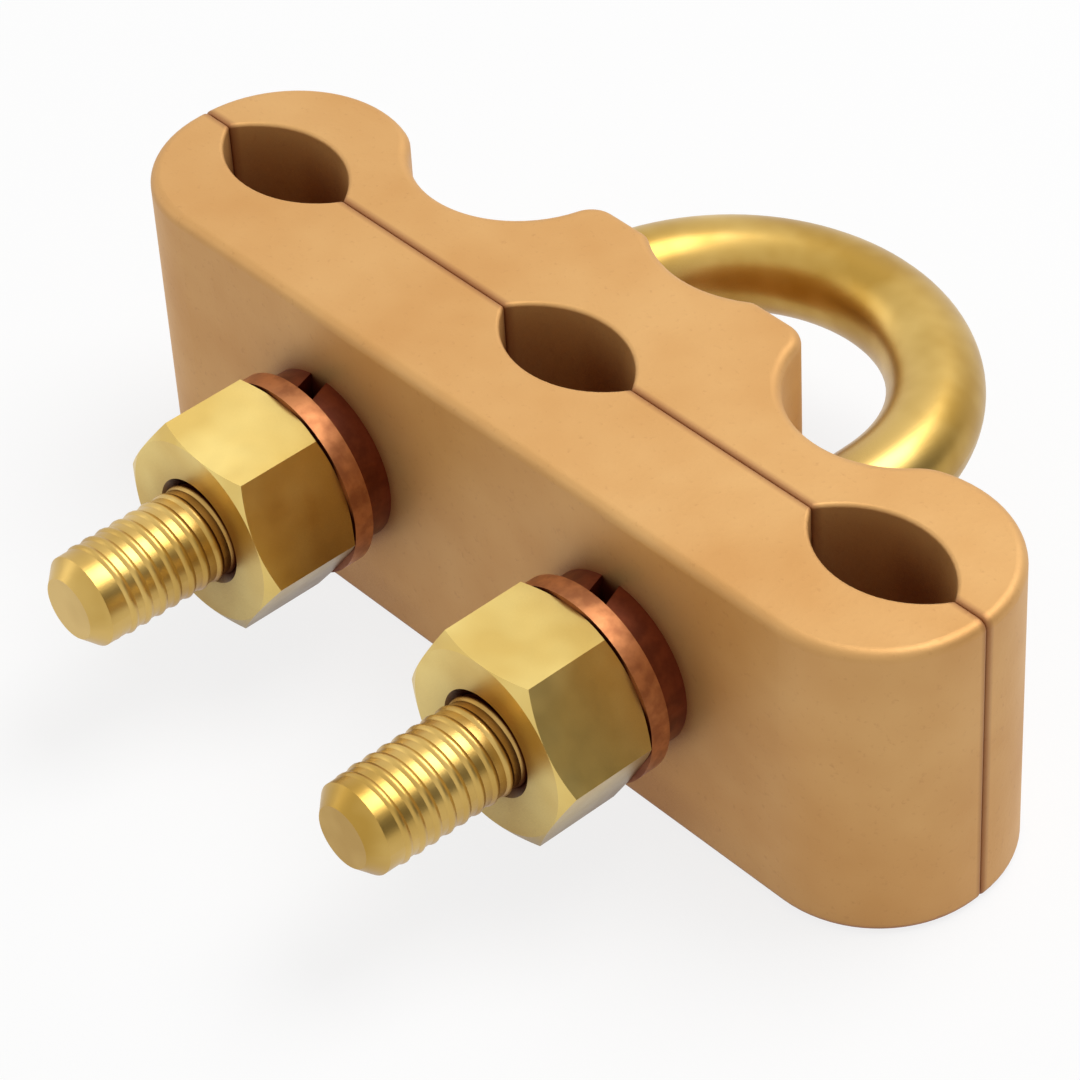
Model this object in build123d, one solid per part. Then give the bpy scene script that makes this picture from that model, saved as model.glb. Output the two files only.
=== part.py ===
from build123d import *
import os
from math import cos, hypot, pi, sqrt

# Earth rod clamp: a split cast body with three cable holes, drawn together by a U-bolt
# whose bend goes round an earth rod behind the body.
# Units are mm. Origin: on the split plane, in the middle of the body, on its bottom face.
# X runs along the body, -Y points to the nuts, +Y to the U-bolt's bend, +Z up along the rod.

# ---------------------------------------------------------------- fit clearances
bore_clearance = 0.08        # leg in the cast bores, on the radius
washer_clearance = 0.10      # leg in a washer, on the radius
thread_clearance = 0.05      # stud in the nut, on the radius

# ---------------------------------------------------------------- cast body
hole_pitch = 30.0            # middle cable hole to each end cable hole
leg_pitch = 30.0             # between the two legs of the U-bolt
body_height = 25.0
lobe_radius = 9.35           # round end of the rear half, about the end cable hole
front_thickness = 9.7
front_corner_radius = 9.0    # round ends of the flat-faced front half
block_depth = 12.6           # split plane to the back of the middle block
block_corner_radius = 2.2
notch_radius = 8.35          # hollow that clears each leg between the block and the lobe
notch_offset = 19.1          # its axis from the middle of the body
notch_floor = 5.0            # metal left between the split plane and the hollow
notch_blend_radius = 4.0     # where the hollow runs out into the lobe
saddle_radius = 9.3          # seat for the rod in the back of the block
saddle_depth = 1.7
saddle_lip_radius = 1.0
edge_radius = 0.8            # soft outer edges of the casting
seam_radius = 0.3            # soft edges along the split and round the cable holes

# ---------------------------------------------------------------- cable holes
groove_radius = 7.5          # each half has an arc-shaped groove; two make a lens-shaped hole
groove_depth = 3.6

# ---------------------------------------------------------------- U-bolt
bar_radius = 3.55            # M8 rolled blank
stud_radius = 3.45           # threaded part, as its mean cylinder
bend_centre = 14.55          # split plane to the centre of the bend
left_tip = 33.0              # split plane to the end of each stud
right_tip = 33.9
thread_length = 27.0
tip_chamfer = 1.1

# ---------------------------------------------------------------- nuts and washers
spring_washer_radius = 6.6
spring_washer_thickness = 2.4
spring_washer_split = 1.6    # width of the cut
spring_washer_skew = 20.0    # lean of the cut, degrees
flat_washer_radius = 7.5
flat_washer_thickness = 1.6
nut_flats = 14.1             # across flats
nut_thickness = 7.9
nut_chamfer_angle = 30.0
nut_countersink = 0.6
nut_turn = {"left": -6.0, "right": 0.5}   # where each nut happened to stop, degrees

# ---------------------------------------------------------------- values that follow
mid_height = body_height / 2
leg_x = leg_pitch / 2
bend_radius = leg_pitch / 2
side_of = {"left": -1, "right": 1}
tip_of = {"left": left_tip, "right": right_tip}
spring_washer_face = front_thickness
flat_washer_face = spring_washer_face + spring_washer_thickness
nut_face = flat_washer_face + flat_washer_thickness
far = 4 * hole_pitch         # larger than the whole clamp


def along_y(x, start, end, radius):
    """Round bar or bore parallel to Y at mid height, from y = start to y = end."""
    return Pos(x, (start + end) / 2, mid_height) * Rot(90, 0, 0) * Cylinder(radius, abs(end - start))


def cable_grooves(side):
    """The three grooves of one half; side is +1 for the rear half and -1 for the front."""
    axis_y = side * (groove_depth - groove_radius)
    cutters = Part()
    for x in (-hole_pitch, 0, hole_pitch):
        cutters += Pos(x, axis_y, mid_height) * Cylinder(groove_radius, 2 * body_height)
    return cutters


def leg_bores():
    """Clearance bores for both legs of the U-bolt."""
    bores = Part()
    for side in (-1, 1):
        bores += along_y(side * leg_x, -far, far, bar_radius + bore_clearance)
    return bores


def between(start, end, share):
    """Point on the line from start to end, at a share of the way."""
    return (start[0] + share * (end[0] - start[0]), start[1] + share * (end[1] - start[1]))


def meeting(first, first_radius, second, second_radius):
    """Where two circles cross, on the left of the way from the first centre to the second."""
    gap = hypot(second[0] - first[0], second[1] - first[1])
    along = (gap**2 + first_radius**2 - second_radius**2) / (2 * gap)
    aside = sqrt(first_radius**2 - along**2)
    foot = between(first, second, along / gap)
    return (foot[0] - aside * (second[1] - first[1]) / gap, foot[1] + aside * (second[0] - first[0]) / gap)


def swing(start, end, centre, radius):
    """Arc of at most half a turn from start to end about the centre."""
    half_way = between(start, end, 0.5)
    reach = hypot(half_way[0] - centre[0], half_way[1] - centre[1])
    return ThreePointArc(start, between(centre, half_way, radius / reach), end)


def rear_plan():
    """Plan of the rear half: end lobes, hollows that clear the legs, and the block with the seat."""
    lobe = (hole_pitch, 0)
    notch = (notch_offset, notch_floor + notch_radius)
    saddle = (0, block_depth - saddle_depth + saddle_radius)
    blend = meeting(notch, notch_radius + notch_blend_radius, lobe, lobe_radius - notch_blend_radius)
    corner_y = block_depth - block_corner_radius
    corner_reach = notch_radius + block_corner_radius
    corner = (notch[0] - sqrt(corner_reach**2 - (notch[1] - corner_y)**2), corner_y)
    lip_y = block_depth - saddle_lip_radius
    lip_reach = saddle_radius + saddle_lip_radius
    lip = (sqrt(lip_reach**2 - (saddle[1] - lip_y)**2), lip_y)

    end = (hole_pitch + lobe_radius, 0)
    off_lobe = between(lobe, blend, lobe_radius / (lobe_radius - notch_blend_radius))
    on_notch = between(notch, blend, notch_radius / (notch_radius + notch_blend_radius))
    off_notch = between(notch, corner, notch_radius / corner_reach)
    on_back = (corner[0], block_depth)
    off_back = (lip[0], block_depth)
    on_saddle = between(saddle, lip, saddle_radius / lip_reach)

    edge = Curve() + swing(end, off_lobe, lobe, lobe_radius)
    edge += swing(off_lobe, on_notch, blend, notch_blend_radius)
    edge += swing(on_notch, off_notch, notch, notch_radius)
    edge += swing(off_notch, on_back, corner, block_corner_radius)
    edge += Line(on_back, off_back)
    edge += swing(off_back, on_saddle, lip, saddle_lip_radius)
    edge += swing(on_saddle, (0, block_depth - saddle_depth), saddle, saddle_radius)
    edge += Line((0, 0), end)
    edge += edge.mirror(Plane.YZ)
    return make_face(edge)


def front_plan():
    """Plan of the front half: a flat face with round ends."""
    half_length = hole_pitch + lobe_radius
    corner_x = half_length - front_corner_radius
    corner = (corner_x, front_corner_radius - front_thickness)
    edge = Curve() + Line((0, 0), (half_length, 0)) + Line((half_length, 0), (half_length, corner[1]))
    edge += swing((half_length, corner[1]), (corner_x, -front_thickness), corner, front_corner_radius)
    edge += Line((corner_x, -front_thickness), (0, -front_thickness))
    edge += edge.mirror(Plane.YZ)
    return make_face(edge)


def soften(half):
    """Round the casting's rim, then the thinner edges at the split and round the grooves."""
    def at_rim(edge):
        return abs(edge.center().Z) < 0.01 or abs(edge.center().Z - body_height) < 0.01

    def on_split(edge):
        return all(abs(v.Y) < 0.01 for v in edge.vertices()) and abs(edge.center().Y) < 0.01

    def in_groove(edge):
        return all(abs(v.Y) < 0.01 for v in edge.vertices()) and 0.01 < abs(edge.center().Y) <= groove_depth

    rim = [e for e in half.edges() if at_rim(e) and not on_split(e) and not in_groove(e)]
    half = fillet(rim, edge_radius)
    seam = [e for e in half.edges() if on_split(e) or (at_rim(e) and in_groove(e))]
    return fillet(seam, seam_radius)


def rear_half():
    half = extrude(rear_plan(), body_height) - cable_grooves(1)
    return soften(half) - leg_bores()


def front_half():
    half = extrude(front_plan(), body_height) - cable_grooves(-1)
    return soften(half) - leg_bores()


def u_bolt():
    """Round bar bent to a U, with a chamfered stud on each leg."""
    ring = Pos(0, bend_centre, mid_height) * Torus(bend_radius, bar_radius)
    bolt = ring & Pos(0, bend_centre + far / 2, mid_height) * Box(far, far, far)
    for name, side in side_of.items():
        tip = -tip_of[name]
        root = tip + thread_length
        bolt += along_y(side * leg_x, root, bend_centre, bar_radius)
        stud = along_y(side * leg_x, tip, root, stud_radius)
        end = stud.edges().filter_by(GeomType.CIRCLE).sort_by(Axis.Y)[0]
        bolt += chamfer(end, tip_chamfer)
    return bolt


def spring_washer(name):
    """Split ring next to the body, its cut at the top."""
    x = side_of[name] * leg_x
    ring = along_y(x, -spring_washer_face, -flat_washer_face, spring_washer_radius)
    ring -= along_y(x, -far, far, bar_radius + washer_clearance)
    middle = (spring_washer_face + flat_washer_face) / 2
    cut = Box(spring_washer_split, 2 * spring_washer_thickness, 2 * spring_washer_radius)
    cut = Pos(x, -middle, mid_height + spring_washer_radius) * Rot(0, 0, spring_washer_skew) * cut
    return ring - cut


def flat_washer(name):
    x = side_of[name] * leg_x
    ring = along_y(x, -flat_washer_face, -nut_face, flat_washer_radius)
    return ring - along_y(x, -far, far, bar_radius + washer_clearance)


def nut(name):
    """Hexagon nut chamfered on both faces, with a countersunk bore."""
    corner_radius = nut_flats / 2 / cos(pi / 6)
    prism = extrude(RegularPolygon(corner_radius, 6), nut_thickness)
    drop = (corner_radius - nut_flats / 2) * sqrt(3) / 3
    blank = Pos(0, 0, nut_thickness / 2) * Cylinder(corner_radius, nut_thickness)
    slope = corner_radius - nut_flats / 2
    blank = chamfer(blank.edges().filter_by(GeomType.CIRCLE), drop, slope)
    bore = Pos(0, 0, nut_thickness / 2) * Cylinder(stud_radius + thread_clearance, 2 * nut_thickness)
    body = (prism & blank) - bore
    mouths = [e for e in body.edges().filter_by(GeomType.CIRCLE) if e.radius < nut_flats / 3]
    body = chamfer(mouths, nut_countersink)
    turned = Rot(90, 0, 0) * Rot(0, 0, nut_turn[name]) * body
    return Pos(side_of[name] * leg_x, -nut_face, mid_height) * turned


pieces = {
    "rear_half": rear_half(),
    "front_half": front_half(),
    "u_bolt": u_bolt(),
    "spring_washer_left": spring_washer("left"),
    "spring_washer_right": spring_washer("right"),
    "flat_washer_left": flat_washer("left"),
    "flat_washer_right": flat_washer("right"),
    "nut_left": nut("left"),
    "nut_right": nut("right"),
}

os.makedirs("parts", exist_ok=True)
for name, solid in pieces.items():
    solid.label = name
    export_step(solid, f"parts/{name}.step")
    print(name, round(solid.volume, 1), len(solid.solids()), solid.is_valid)
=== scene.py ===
from math import cos, pi, radians, sin

import bpy
from mathutils import Matrix, Vector


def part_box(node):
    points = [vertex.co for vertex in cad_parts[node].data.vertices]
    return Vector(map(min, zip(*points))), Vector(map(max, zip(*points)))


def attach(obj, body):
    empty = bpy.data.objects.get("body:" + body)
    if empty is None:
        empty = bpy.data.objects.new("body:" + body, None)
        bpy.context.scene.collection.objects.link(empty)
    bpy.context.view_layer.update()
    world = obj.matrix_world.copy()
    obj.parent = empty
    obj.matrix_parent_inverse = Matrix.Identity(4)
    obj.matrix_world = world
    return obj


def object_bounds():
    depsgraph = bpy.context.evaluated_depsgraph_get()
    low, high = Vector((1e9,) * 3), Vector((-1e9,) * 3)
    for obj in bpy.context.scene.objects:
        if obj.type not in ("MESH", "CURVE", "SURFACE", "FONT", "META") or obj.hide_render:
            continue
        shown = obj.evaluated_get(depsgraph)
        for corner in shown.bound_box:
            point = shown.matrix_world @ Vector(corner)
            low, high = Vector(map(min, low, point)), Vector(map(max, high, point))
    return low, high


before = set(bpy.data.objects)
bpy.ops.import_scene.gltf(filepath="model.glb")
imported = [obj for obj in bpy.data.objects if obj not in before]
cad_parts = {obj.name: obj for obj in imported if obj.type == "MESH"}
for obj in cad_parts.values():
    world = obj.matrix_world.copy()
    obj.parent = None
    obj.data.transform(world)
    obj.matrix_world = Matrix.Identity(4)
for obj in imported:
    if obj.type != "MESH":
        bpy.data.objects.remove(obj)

bl_info = {
    "name": "Earth rod clamp",
    "version": (1, 0, 0),
    "blender": (4, 5, 0),
    "location": "3D View > Sidebar > Clamp",
    "description": "Finishes and stages a split earth rod clamp with a U-bolt",
    "category": "Object",
}

CAD_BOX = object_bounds()
SIDES = ("left", "right")
BODY_LOW, BODY_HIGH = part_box("front_half")
MID_HEIGHT = (BODY_LOW[2] + BODY_HIGH[2]) / 2
NUT_CENTRES = {side: (Vector(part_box(f"nut_{side}")[0]) + Vector(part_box(f"nut_{side}")[1])) / 2
               for side in SIDES}

# sockets of the colour mix node, which has several of each name
MIX_FACTOR, MIX_A, MIX_B, MIX_RESULT = 0, 6, 7, 2

# roll-formed thread
THREAD_FACETS = 48            # round the stud
THREAD_ROWS_PER_TURN = 8      # along the stud
THREAD_SHARPNESS = 1.5        # above 1 the crests are narrower than the roots

# stage, in metres and watts
SENSOR_WIDTH_MM = 36.0
CLIP_NEAR, CLIP_FAR = 0.01, 50.0
AIM_RIGHT, AIM_UP = 0.0077, 0.0121      # framing offsets, as shares of the camera's distance
FLOOR_GAP = 0.00002
FLOOR_GLOW = 0.82             # share of the floor that shows as plain white
WORLD_AS_LIGHT = 0.35
FLAG_DIRECTION = (0.852, 0.492, 0.176)
FLAG_EDGE, FLAG_CORE = 0.72, 0.94       # cosines of the angle from the flag's middle
FLAG_LEVEL = 0.08
LAMPS = (   # name, place, width, power
    ("overhead_lamp", (0.12, 0.30, 0.70), 0.5, 4.4),
    ("side_lamp", (-0.60, -0.35, 0.35), 0.4, 0.5),
)


# ------------------------------------------------------------------ small helpers

def linear(code):
    """Linear colour with alpha from an sRGB hex code."""
    def one(text):
        value = int(text, 16) / 255
        return value / 12.92 if value <= 0.04045 else ((value + 0.055) / 1.055) ** 2.4
    return (one(code[1:3]), one(code[3:5]), one(code[5:7]), 1.0)


def per_mm(size):
    """Texture scale, in an object measured in metres, for features of a size in millimetres."""
    return 1000.0 / size


def add_node(tree, kind, values=None, links=None, **settings):
    """Add one node: its settings, the values on its sockets, and what is linked to them."""
    node = tree.nodes.new(kind)
    for name, value in settings.items():
        setattr(node, name, value)
    for name, value in (values or {}).items():
        node.inputs[name].default_value = value
    for name, socket in (links or {}).items():
        tree.links.new(socket, node.inputs[name])
    return node


def new_material(name):
    material = bpy.data.materials.new(name)
    material.use_nodes = True
    material.node_tree.nodes.clear()
    return material


def finish_material(tree, shader):
    add_node(tree, "ShaderNodeOutputMaterial", links={"Surface": shader.outputs["BSDF"]})


def dress(node, material):
    """Give a CAD node its material."""
    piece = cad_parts[node]
    piece.data.materials.clear()
    piece.data.materials.append(material)


# ------------------------------------------------------------------ materials

def painted_shade_in_hollows(tree, reach_mm, lo, hi):
    """1 in corners and holes, 0 on open faces: a mask for painted shade, found by ambient occlusion,
    that also stands for oxide in the hollows.
    """
    shelter = add_node(tree, "ShaderNodeAmbientOcclusion", {"Distance": reach_mm / 1000},
                       samples=8)
    return add_node(tree, "ShaderNodeMapRange",
                    {"From Min": hi, "From Max": lo, "To Min": 0.0, "To Max": 1.0},
                    {"Value": shelter.outputs["AO"]})


def eye_or_mirror(tree, path):
    """1 for what the camera sees straight, mirrored or through glass, 0 for what only lights."""
    seen = add_node(tree, "ShaderNodeMath",
                    links={0: path.outputs["Is Camera Ray"], 1: path.outputs["Is Glossy Ray"]},
                    operation="MAXIMUM")
    return add_node(tree, "ShaderNodeMath",
                    links={0: seen.outputs[0], 1: path.outputs["Is Transmission Ray"]},
                    operation="MAXIMUM")


def sand_cast_gunmetal(look):
    """Gunmetal cast in sand and tumbled: a soft tan sheen, fine grain, and painted brown shade, partly
    oxide, in the holes.
    """
    material = new_material("sand_cast_gunmetal")
    tree = material.node_tree
    place = add_node(tree, "ShaderNodeTexCoord").outputs["Object"]
    clouds = add_node(tree, "ShaderNodeTexNoise",
                      {"Scale": per_mm(14.0), "Detail": 3.0, "Roughness": 0.55},
                      {"Vector": place})
    clouded = add_node(tree, "ShaderNodeMapRange", {"From Min": 0.36, "From Max": 0.64},
                       {"Value": clouds.outputs["Fac"]})
    base = add_node(tree, "ShaderNodeMix", {MIX_A: look.cast_light, MIX_B: look.cast_deep},
                    {MIX_FACTOR: clouded.outputs["Result"]}, data_type="RGBA")
    # speckle stands for 0.1 mm sand grain, drawn at 0.5 mm so that it shows
    grain = add_node(tree, "ShaderNodeTexNoise",
                     {"Scale": per_mm(0.5), "Detail": 4.0, "Roughness": 0.6},
                     {"Vector": place})
    fleck = add_node(tree, "ShaderNodeMapRange",
                     {"From Min": 0.60, "From Max": 0.74, "To Max": 0.28},
                     {"Value": grain.outputs["Fac"]})
    flecked = add_node(tree, "ShaderNodeMix", {MIX_B: look.cast_fleck},
                       {MIX_FACTOR: fleck.outputs["Result"], MIX_A: base.outputs[MIX_RESULT]},
                       data_type="RGBA")
    # painted shade in brown, partly oxide, in the cable holes and corners, and a painted dark line
    # along the split for the shade in the gap between the halves
    shade = painted_shade_in_hollows(tree, 9.0, 0.18, 0.52)
    depth = add_node(tree, "ShaderNodeSeparateXYZ", links={"Vector": place})
    off_split = add_node(tree, "ShaderNodeMath", links={0: depth.outputs["Y"]},
                         operation="ABSOLUTE")
    split_line_shade = add_node(tree, "ShaderNodeMapRange",
                    {"From Min": 0.0006, "From Max": 0.0001, "To Max": 0.6},
                    {"Value": off_split.outputs[0]})
    oxide_and_painted_shade = add_node(tree, "ShaderNodeMath",
                     links={0: shade.outputs["Result"], 1: split_line_shade.outputs["Result"]},
                     operation="MAXIMUM")
    tarnish_and_painted_shade = add_node(tree, "ShaderNodeMix", {MIX_B: look.shade_and_oxide},
                         {MIX_FACTOR: oxide_and_painted_shade.outputs[0], MIX_A: flecked.outputs[MIX_RESULT]},
                         data_type="RGBA")
    rough = add_node(tree, "ShaderNodeMapRange", {"To Min": 0.46, "To Max": 0.60},
                     {"Value": clouds.outputs["Fac"]})
    dimples = add_node(tree, "ShaderNodeBump", {"Strength": 0.25, "Distance": 0.00010},
                       {"Height": grain.outputs["Fac"]})
    waves = add_node(tree, "ShaderNodeTexNoise", {"Scale": per_mm(5.0), "Detail": 1.0},
                     {"Vector": place})
    skin = add_node(tree, "ShaderNodeBump", {"Strength": 0.10, "Distance": 0.0003},
                    {"Height": waves.outputs["Fac"], "Normal": dimples.outputs["Normal"]})
    shader = add_node(tree, "ShaderNodeBsdfPrincipled", {"Metallic": 0.5},
                      {"Base Color": tarnish_and_painted_shade.outputs[MIX_RESULT],
                       "Roughness": rough.outputs["Result"],
                       "Normal": skin.outputs["Normal"]})
    finish_material(tree, shader)
    return material


def drawn_brass_bar(look):
    """High-tensile brass bar, drawn, bent and threaded: golden, fine lines along it."""
    material = new_material("drawn_brass_bar")
    tree = material.node_tree
    place = add_node(tree, "ShaderNodeTexCoord").outputs["Object"]
    clouds = add_node(tree, "ShaderNodeTexNoise", {"Scale": per_mm(9.0), "Detail": 3.0},
                      {"Vector": place})
    clouded = add_node(tree, "ShaderNodeMapRange", {"From Min": 0.38, "From Max": 0.62},
                       {"Value": clouds.outputs["Fac"]})
    base = add_node(tree, "ShaderNodeMix", {MIX_A: look.bar_light, MIX_B: look.bar_deep},
                    {MIX_FACTOR: clouded.outputs["Result"]}, data_type="RGBA")
    # painted shade: the brown tarnish colour, partly oxide, where the bar is sheltered, as under the
    # bend near the body
    shade = painted_shade_in_hollows(tree, 14.0, 0.30, 0.80)
    tarnish_and_painted_shade = add_node(tree, "ShaderNodeMix", {MIX_B: look.shade_and_oxide},
                         {MIX_FACTOR: shade.outputs["Result"], MIX_A: base.outputs[MIX_RESULT]},
                         data_type="RGBA")
    # die lines are 0.05 mm apart, drawn at 0.4 mm so that they show, and eight times as long
    run = add_node(tree, "ShaderNodeMapping", {"Scale": (1.0, 0.12, 1.0)}, {"Vector": place})
    lines = add_node(tree, "ShaderNodeTexNoise", {"Scale": per_mm(0.4), "Detail": 2.0},
                     {"Vector": run.outputs["Vector"]})
    drawn = add_node(tree, "ShaderNodeBump", {"Strength": 0.10, "Distance": 0.00005},
                     {"Height": lines.outputs["Fac"]})
    rough = add_node(tree, "ShaderNodeMapRange", {"To Min": 0.27, "To Max": 0.40},
                     {"Value": clouds.outputs["Fac"]})
    shader = add_node(tree, "ShaderNodeBsdfPrincipled", {"Metallic": 0.9},
                      {"Base Color": tarnish_and_painted_shade.outputs[MIX_RESULT],
                       "Roughness": rough.outputs["Result"],
                       "Normal": drawn.outputs["Normal"]})
    finish_material(tree, shader)
    return material


def turned_brass_nut(look, side):
    """Brass hexagon nut, turned and barrelled: pale yellow, faint turning rings on its faces."""
    material = new_material(f"turned_brass_nut_{side}")
    tree = material.node_tree
    place = add_node(tree, "ShaderNodeTexCoord").outputs["Object"]
    clouds = add_node(tree, "ShaderNodeTexNoise", {"Scale": per_mm(7.0), "Detail": 2.0},
                      {"Vector": place})
    clouded = add_node(tree, "ShaderNodeMapRange", {"From Min": 0.38, "From Max": 0.62},
                       {"Value": clouds.outputs["Fac"]})
    base = add_node(tree, "ShaderNodeMix", {MIX_A: look.nut_light, MIX_B: look.nut_deep},
                    {MIX_FACTOR: clouded.outputs["Result"]}, data_type="RGBA")
    # painted shade: olive brown, partly oxide, on the flats that the body shelters, found by ambient
    # occlusion
    shade = painted_shade_in_hollows(tree, 16.0, 0.30, 0.86)
    tarnish_and_painted_shade = add_node(tree, "ShaderNodeMix", {MIX_B: look.nut_shade_and_oxide},
                         {MIX_FACTOR: shade.outputs["Result"], MIX_A: base.outputs[MIX_RESULT]},
                         data_type="RGBA")
    # turning rings about the nut's own axis; the wave node turns 20 radians per unit of scale,
    # so this is one radian in 0.35 mm, and the rings are 2.2 mm apart
    centred = add_node(tree, "ShaderNodeMapping", {"Location": tuple(-NUT_CENTRES[side])},
                       {"Vector": place})
    rings = add_node(tree, "ShaderNodeTexWave",
                     {"Scale": per_mm(0.35) / 20, "Distortion": 0.4},
                     {"Vector": centred.outputs["Vector"]},
                     wave_type="RINGS", rings_direction="Y")
    turned = add_node(tree, "ShaderNodeBump", {"Strength": 0.06, "Distance": 0.00004},
                      {"Height": rings.outputs["Fac"]})
    dings = add_node(tree, "ShaderNodeTexNoise", {"Scale": per_mm(1.6), "Detail": 3.0},
                     {"Vector": place})
    worn = add_node(tree, "ShaderNodeBump", {"Strength": 0.10, "Distance": 0.0001},
                    {"Height": dings.outputs["Fac"], "Normal": turned.outputs["Normal"]})
    rough = add_node(tree, "ShaderNodeMapRange", {"To Min": 0.30, "To Max": 0.42},
                     {"Value": dings.outputs["Fac"]})
    shader = add_node(tree, "ShaderNodeBsdfPrincipled", {"Metallic": 1.0},
                      {"Base Color": tarnish_and_painted_shade.outputs[MIX_RESULT],
                       "Roughness": rough.outputs["Result"],
                       "Normal": worn.outputs["Normal"]})
    finish_material(tree, shader)
    return material


def stamped_bronze_washer(name, light, deep, look):
    """Phosphor bronze washer stamped from strip: coppery, a slight torn grain on its rim."""
    material = new_material(name)
    tree = material.node_tree
    place = add_node(tree, "ShaderNodeTexCoord").outputs["Object"]
    grain = add_node(tree, "ShaderNodeTexNoise", {"Scale": per_mm(1.2), "Detail": 3.0},
                     {"Vector": place})
    mottled = add_node(tree, "ShaderNodeMapRange", {"From Min": 0.38, "From Max": 0.62},
                       {"Value": grain.outputs["Fac"]})
    base = add_node(tree, "ShaderNodeMix", {MIX_A: light, MIX_B: deep},
                    {MIX_FACTOR: mottled.outputs["Result"]}, data_type="RGBA")
    # painted shade: the brown tarnish colour, partly oxide, where the washer meets the body and the nut
    shade = painted_shade_in_hollows(tree, 3.0, 0.30, 0.85)
    tarnish_and_painted_shade = add_node(tree, "ShaderNodeMix", {MIX_B: look.shade_and_oxide},
                         {MIX_FACTOR: shade.outputs["Result"], MIX_A: base.outputs[MIX_RESULT]},
                         data_type="RGBA")
    torn = add_node(tree, "ShaderNodeBump", {"Strength": 0.15, "Distance": 0.00006},
                    {"Height": grain.outputs["Fac"]})
    rough = add_node(tree, "ShaderNodeMapRange", {"To Min": 0.34, "To Max": 0.50},
                     {"Value": grain.outputs["Fac"]})
    shader = add_node(tree, "ShaderNodeBsdfPrincipled", {"Metallic": 0.70},
                      {"Base Color": tarnish_and_painted_shade.outputs[MIX_RESULT],
                       "Roughness": rough.outputs["Result"],
                       "Normal": torn.outputs["Normal"]})
    finish_material(tree, shader)
    return material


def matt_white_paper(look):
    """Matt white paper: only the soft shadow under the clamp shows on it."""
    material = new_material("matt_white_paper")
    tree = material.node_tree
    paper = add_node(tree, "ShaderNodeBsdfDiffuse", {"Color": look.paper, "Roughness": 0.0})
    glow = add_node(tree, "ShaderNodeEmission", {"Color": (1, 1, 1, 1), "Strength": 1.0})
    seen = eye_or_mirror(tree, add_node(tree, "ShaderNodeLightPath"))
    share = add_node(tree, "ShaderNodeMath", {1: FLOOR_GLOW}, {0: seen.outputs[0]},
                     operation="MULTIPLY")
    both = add_node(tree, "ShaderNodeMixShader",
                    links={0: share.outputs[0], 1: paper.outputs[0], 2: glow.outputs[0]})
    add_node(tree, "ShaderNodeOutputMaterial", links={"Surface": both.outputs[0]})
    return material


# ------------------------------------------------------------------ values a user may change

class ClampSizes(bpy.types.PropertyGroup):
    """Sizes that belong to the thread, the camera and the floor."""
    thread_pitch: bpy.props.FloatProperty(
        name="Thread pitch", description="Pitch of the studs' thread",
        default=0.00125, unit="LENGTH")
    thread_root: bpy.props.FloatProperty(
        name="Thread root", description="Radius at the root, inside the stud",
        default=0.00338, unit="LENGTH")
    thread_crest: bpy.props.FloatProperty(
        name="Thread crest", description="Radius at the crest",
        default=0.00360, unit="LENGTH")
    thread_runout: bpy.props.FloatProperty(
        name="Thread run-out", description="Length over which the thread fades",
        default=0.0012, unit="LENGTH")
    thread_length: bpy.props.FloatProperty(
        name="Thread length", description="Along each stud",
        default=0.0230, unit="LENGTH")
    left_thread_end: bpy.props.FloatProperty(
        name="Left thread end", description="Y where the thread starts",
        default=-0.0316, unit="LENGTH")
    right_thread_end: bpy.props.FloatProperty(
        name="Right thread end", description="Y where the thread starts",
        default=-0.0325, unit="LENGTH")
    lens: bpy.props.FloatProperty(
        name="Lens", description="Focal length of the camera",
        default=148.87, unit="CAMERA")
    camera_distance: bpy.props.FloatProperty(
        name="Camera distance", description="From the middle of the body",
        default=0.31152, unit="LENGTH")
    azimuth: bpy.props.FloatProperty(
        name="Azimuth", description="Round the clamp",
        default=radians(49.63), subtype="ANGLE")
    elevation: bpy.props.FloatProperty(
        name="Elevation", description="Above the horizon",
        default=radians(40.54), subtype="ANGLE")
    roll: bpy.props.FloatProperty(
        name="Roll", description="Tilt of the camera",
        default=radians(-3.19), subtype="ANGLE")
    floor_size: bpy.props.FloatProperty(
        name="Floor size", description="Width of the paper",
        default=4.0, unit="LENGTH")


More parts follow.
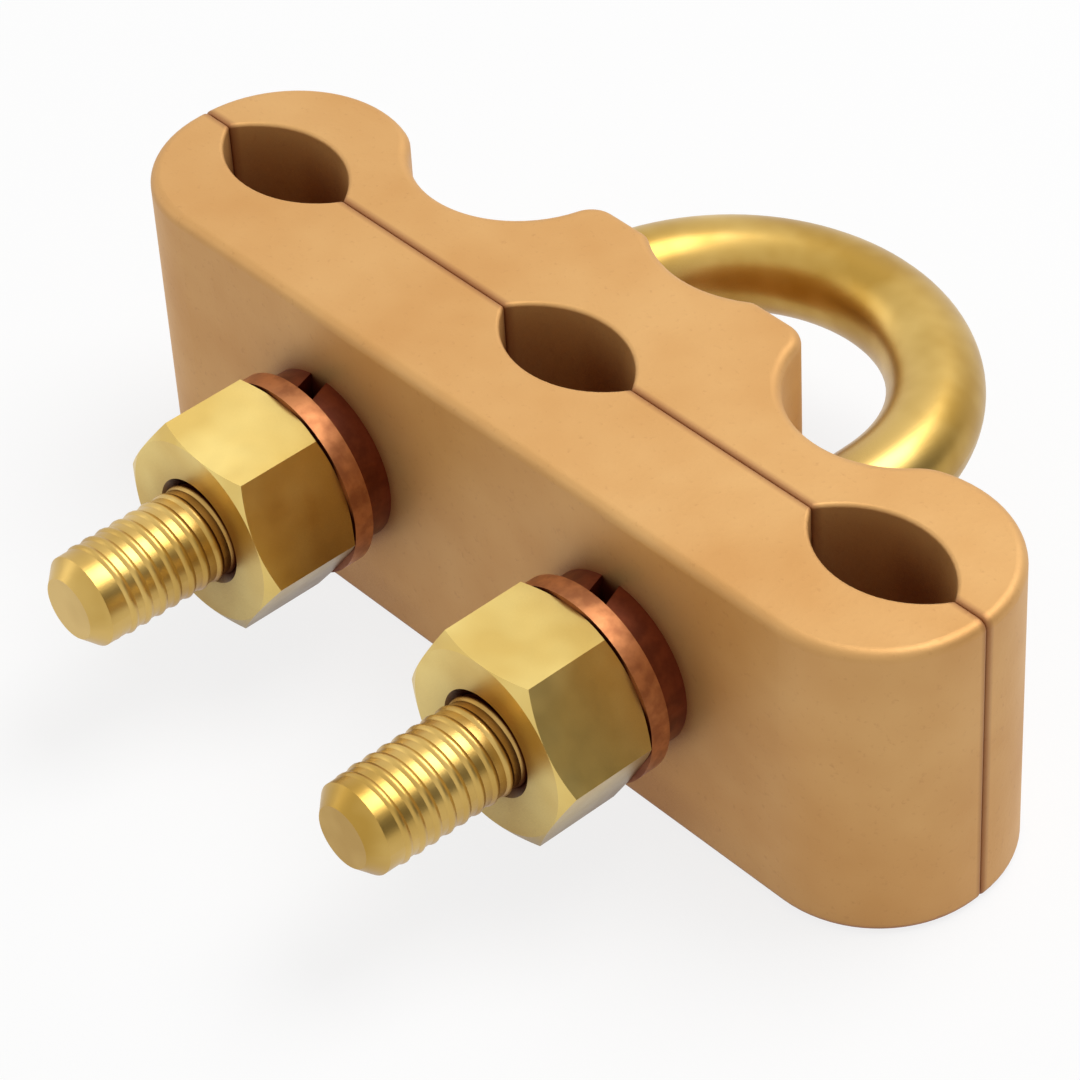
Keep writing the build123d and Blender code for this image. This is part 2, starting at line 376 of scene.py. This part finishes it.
class ClampColours(bpy.types.PropertyGroup):
    """Colours of the finishes."""
    cast_light: bpy.props.FloatVectorProperty(
        name="Casting, light", description="Gunmetal where it is clean",
        subtype="COLOR", size=4, default=linear("#D6A667"))
    cast_deep: bpy.props.FloatVectorProperty(
        name="Casting, deep", description="Gunmetal where it has dulled",
        subtype="COLOR", size=4, default=linear("#CB9757"))
    cast_fleck: bpy.props.FloatVectorProperty(
        name="Casting, fleck", description="Grain of the sand mould",
        subtype="COLOR", size=4, default=linear("#AE7842"))
    # painted shade, partly brown oxide, for holes, corners and sheltered places
    shade_and_oxide: bpy.props.FloatVectorProperty(
        name="Tarnish", description="Brown oxide in holes and corners",
        subtype="COLOR", size=4, default=linear("#7A3216"))
    bar_light: bpy.props.FloatVectorProperty(
        name="Bar, light", description="Drawn brass where it is clean",
        subtype="COLOR", size=4, default=linear("#D2B065"))
    bar_deep: bpy.props.FloatVectorProperty(
        name="Bar, deep", description="Drawn brass where it has dulled",
        subtype="COLOR", size=4, default=linear("#B28C3E"))
    nut_light: bpy.props.FloatVectorProperty(
        name="Nut, light", description="Turned brass where it is clean",
        subtype="COLOR", size=4, default=linear("#E6CC7E"))
    nut_deep: bpy.props.FloatVectorProperty(
        name="Nut, deep", description="Turned brass where it has dulled",
        subtype="COLOR", size=4, default=linear("#D8B868"))
    # painted shade, partly olive oxide, on the nuts' sheltered flats
    nut_shade_and_oxide: bpy.props.FloatVectorProperty(
        name="Nut, tarnish", description="Olive brown oxide on sheltered flats",
        subtype="COLOR", size=4, default=linear("#5E3C16"))
    washer_light: bpy.props.FloatVectorProperty(
        name="Washer, light", description="Bronze where it is clean",
        subtype="COLOR", size=4, default=linear("#B9794A"))
    washer_deep: bpy.props.FloatVectorProperty(
        name="Washer, deep", description="Bronze where it has dulled",
        subtype="COLOR", size=4, default=linear("#9A5F38"))
    # the spring washers are drawn darker than the flat washers
    spring_light: bpy.props.FloatVectorProperty(
        name="Spring washer, light", description="Oxidised bronze where it is worn",
        subtype="COLOR", size=4, default=linear("#7A4026"))
    spring_deep: bpy.props.FloatVectorProperty(
        name="Spring washer, deep", description="Oxidised bronze",
        subtype="COLOR", size=4, default=linear("#552A17"))
    paper: bpy.props.FloatVectorProperty(
        name="Paper", description="Floor",
        subtype="COLOR", size=4, default=linear("#F4F4F4"))


# ------------------------------------------------------------------ pieces

class CLAMP_OT_cast_body(bpy.types.Operator):
    """Finish both halves of the cast body"""
    bl_idname = "clamp.cast_body"
    bl_label = "Cast body"

    def execute(self, context):
        material = sand_cast_gunmetal(context.scene.clamp_colours)
        for node in ("rear_half", "front_half"):
            dress(node, material)
        return {"FINISHED"}


def thread_ridge(name, x, tip, root, sizes, material):
    """Rolled thread as a closed sleeve on one stud, from y = tip to y = root, faded at its ends."""
    rows = round((root - tip) / sizes.thread_pitch * THREAD_ROWS_PER_TURN)
    vertices = []
    for row in range(rows + 1):
        y = tip + (root - tip) * row / rows
        fade = min(1.0, (y - tip) / sizes.thread_runout, (root - y) / sizes.thread_runout)
        for step in range(THREAD_FACETS):
            turn = step / THREAD_FACETS
            phase = (y / sizes.thread_pitch + turn) % 1.0
            ridge = (0.5 + 0.5 * cos(2 * pi * phase)) ** THREAD_SHARPNESS
            radius = sizes.thread_root + (sizes.thread_crest - sizes.thread_root) * ridge * fade
            vertices.append((x + radius * cos(2 * pi * turn), y,
                             MID_HEIGHT + radius * sin(2 * pi * turn)))
    faces = []
    for row in range(rows):
        near, far = row * THREAD_FACETS, (row + 1) * THREAD_FACETS
        for step in range(THREAD_FACETS):
            after = (step + 1) % THREAD_FACETS
            faces.append((near + step, near + after, far + after, far + step))
    faces.append(tuple(reversed(range(THREAD_FACETS))))
    faces.append(tuple(rows * THREAD_FACETS + step for step in range(THREAD_FACETS)))
    mesh = bpy.data.meshes.new(name)
    mesh.from_pydata(vertices, [], faces)
    mesh.polygons.foreach_set("use_smooth", [True] * (len(faces) - 2) + [False, False])
    mesh.materials.append(material)
    piece = bpy.data.objects.new(name, mesh)
    bpy.context.scene.collection.objects.link(piece)
    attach(piece, "u_bolt")


class CLAMP_OT_u_bolt(bpy.types.Operator):
    """Finish the U-bolt and roll the thread on its studs"""
    bl_idname = "clamp.u_bolt"
    bl_label = "U-bolt"

    def execute(self, context):
        sizes = context.scene.clamp_sizes
        material = drawn_brass_bar(context.scene.clamp_colours)
        dress("u_bolt", material)
        for side, tip in (("left", sizes.left_thread_end), ("right", sizes.right_thread_end)):
            thread_ridge(f"thread_{side}", NUT_CENTRES[side][0], tip,
                         tip + sizes.thread_length, sizes, material)
        return {"FINISHED"}


class CLAMP_OT_washers(bpy.types.Operator):
    """Finish the spring washers and the flat washers"""
    bl_idname = "clamp.washers"
    bl_label = "Washers"

    def execute(self, context):
        look = context.scene.clamp_colours
        flat = stamped_bronze_washer("stamped_bronze_washer",
                                     look.washer_light, look.washer_deep, look)
        spring = stamped_bronze_washer("darker_spring_bronze",
                                       look.spring_light, look.spring_deep, look)
        for side in SIDES:
            dress(f"flat_washer_{side}", flat)
            dress(f"spring_washer_{side}", spring)
        return {"FINISHED"}


class CLAMP_OT_nuts(bpy.types.Operator):
    """Finish both nuts"""
    bl_idname = "clamp.nuts"
    bl_label = "Nuts"

    def execute(self, context):
        for side in SIDES:
            dress(f"nut_{side}", turned_brass_nut(context.scene.clamp_colours, side))
        return {"FINISHED"}


# ------------------------------------------------------------------ stage

def add_lamp(name, place, aim, size, power):
    """Square soft lamp at a place, facing a point."""
    data = bpy.data.lights.new(name, "AREA")
    data.shape = "SQUARE"
    data.size = size
    data.energy = power
    lamp = bpy.data.objects.new(name, data)
    lamp.location = place
    lamp.rotation_euler = (Vector(aim) - Vector(place)).to_track_quat("-Z", "Y").to_euler()
    bpy.context.scene.collection.objects.link(lamp)


def add_camera(sizes):
    """Long lens on the nuts' side, from above; the body sits a little right of and above the middle."""
    centre = Vector((0, 0, MID_HEIGHT))
    flat = cos(sizes.elevation)
    back = Vector((sin(sizes.azimuth) * flat, -cos(sizes.azimuth) * flat, sin(sizes.elevation)))
    right = Vector((cos(sizes.azimuth), sin(sizes.azimuth), 0))
    up = back.cross(right)
    tilted_right = cos(sizes.roll) * right + sin(sizes.roll) * up
    tilted_up = -sin(sizes.roll) * right + cos(sizes.roll) * up
    place = centre + back * sizes.camera_distance
    aim = centre - (tilted_right * AIM_RIGHT + tilted_up * AIM_UP) * sizes.camera_distance
    look_back = (place - aim).normalized()
    look_right = (tilted_right - look_back * tilted_right.dot(look_back)).normalized()
    look_up = look_back.cross(look_right)
    data = bpy.data.cameras.new("camera")
    data.sensor_width = SENSOR_WIDTH_MM
    data.lens = sizes.lens
    data.clip_start = CLIP_NEAR
    data.clip_end = CLIP_FAR
    camera = bpy.data.objects.new("camera", data)
    turn = Matrix((look_right, look_up, look_back)).transposed().to_4x4()
    camera.matrix_world = Matrix.Translation(place) @ turn
    bpy.context.scene.collection.objects.link(camera)
    bpy.context.scene.camera = camera


def add_world():
    """Even pale surroundings: white to the eye and in the metal, dimmer as light on the clamp."""
    world = bpy.data.worlds.new("studio")
    bpy.context.scene.world = world
    world.use_nodes = True
    tree = world.node_tree
    tree.nodes.clear()
    path = add_node(tree, "ShaderNodeLightPath")
    seen = eye_or_mirror(tree, path)
    level = add_node(tree, "ShaderNodeMapRange", {"To Min": WORLD_AS_LIGHT, "To Max": 1.0},
                     {"Value": seen.outputs[0]})
    # a dark flag low on the right, behind the clamp, that only the metal mirrors
    way = add_node(tree, "ShaderNodeTexCoord")
    toward = add_node(tree, "ShaderNodeVectorMath", {1: FLAG_DIRECTION},
                      {0: way.outputs["Generated"]}, operation="DOT_PRODUCT")
    near = add_node(tree, "ShaderNodeMapRange", {"From Min": FLAG_EDGE, "From Max": FLAG_CORE},
                    {"Value": toward.outputs["Value"]})
    mirrored = add_node(tree, "ShaderNodeMath",
                        links={0: near.outputs["Result"], 1: path.outputs["Is Glossy Ray"]},
                        operation="MULTIPLY")
    dimmed = add_node(tree, "ShaderNodeMapRange", {"To Min": 1.0, "To Max": FLAG_LEVEL},
                      {"Value": mirrored.outputs[0]})
    strength = add_node(tree, "ShaderNodeMath",
                        links={0: level.outputs["Result"], 1: dimmed.outputs["Result"]},
                        operation="MULTIPLY")
    light = add_node(tree, "ShaderNodeBackground", {"Color": (1, 1, 1, 1)},
                     {"Strength": strength.outputs[0]})
    add_node(tree, "ShaderNodeOutputWorld", links={"Surface": light.outputs[0]})


class CLAMP_OT_stage(bpy.types.Operator):
    """Make the floor, the lamps, the surroundings and the camera"""
    bl_idname = "clamp.stage"
    bl_label = "Stage"

    def execute(self, context):
        sizes = context.scene.clamp_sizes
        half = sizes.floor_size / 2
        mesh = bpy.data.meshes.new("floor")
        floor_z = CAD_BOX[0][2] - FLOOR_GAP
        mesh.from_pydata([(-half, -half, floor_z), (half, -half, floor_z),
                          (half, half, floor_z), (-half, half, floor_z)],
                         [], [(0, 1, 2, 3)])
        floor = bpy.data.objects.new("floor", mesh)
        context.scene.collection.objects.link(floor)
        mesh.materials.append(matt_white_paper(context.scene.clamp_colours))
        for name, place, size, power in LAMPS:
            add_lamp(name, place, (0, 0, MID_HEIGHT), size, power)
        add_world()
        add_camera(sizes)
        context.scene.view_settings.view_transform = "Standard"
        return {"FINISHED"}


# ------------------------------------------------------------------ add-on

class CLAMP_PT_panel(bpy.types.Panel):
    """Sizes, colours and steps of the clamp"""
    bl_idname = "CLAMP_PT_panel"
    bl_label = "Earth rod clamp"
    bl_space_type = "VIEW_3D"
    bl_region_type = "UI"
    bl_category = "Clamp"

    def draw(self, context):
        for group in (context.scene.clamp_sizes, context.scene.clamp_colours):
            for name in group.__annotations__:
                self.layout.prop(group, name)
        for operator in OPERATORS:
            self.layout.operator(operator.bl_idname)


OPERATORS = (CLAMP_OT_cast_body, CLAMP_OT_u_bolt, CLAMP_OT_washers, CLAMP_OT_nuts,
             CLAMP_OT_stage)
CLASSES = (ClampSizes, ClampColours) + OPERATORS + (CLAMP_PT_panel,)


def register():
    for cls in CLASSES:
        bpy.utils.register_class(cls)
    bpy.types.Scene.clamp_sizes = bpy.props.PointerProperty(type=ClampSizes)
    bpy.types.Scene.clamp_colours = bpy.props.PointerProperty(type=ClampColours)


def unregister():
    del bpy.types.Scene.clamp_colours
    del bpy.types.Scene.clamp_sizes
    for cls in reversed(CLASSES):
        bpy.utils.unregister_class(cls)


def main():
    register()
    bpy.ops.clamp.cast_body()
    bpy.ops.clamp.u_bolt()
    bpy.ops.clamp.washers()
    bpy.ops.clamp.nuts()
    bpy.ops.clamp.stage()


if __name__ == "__main__":
    main()
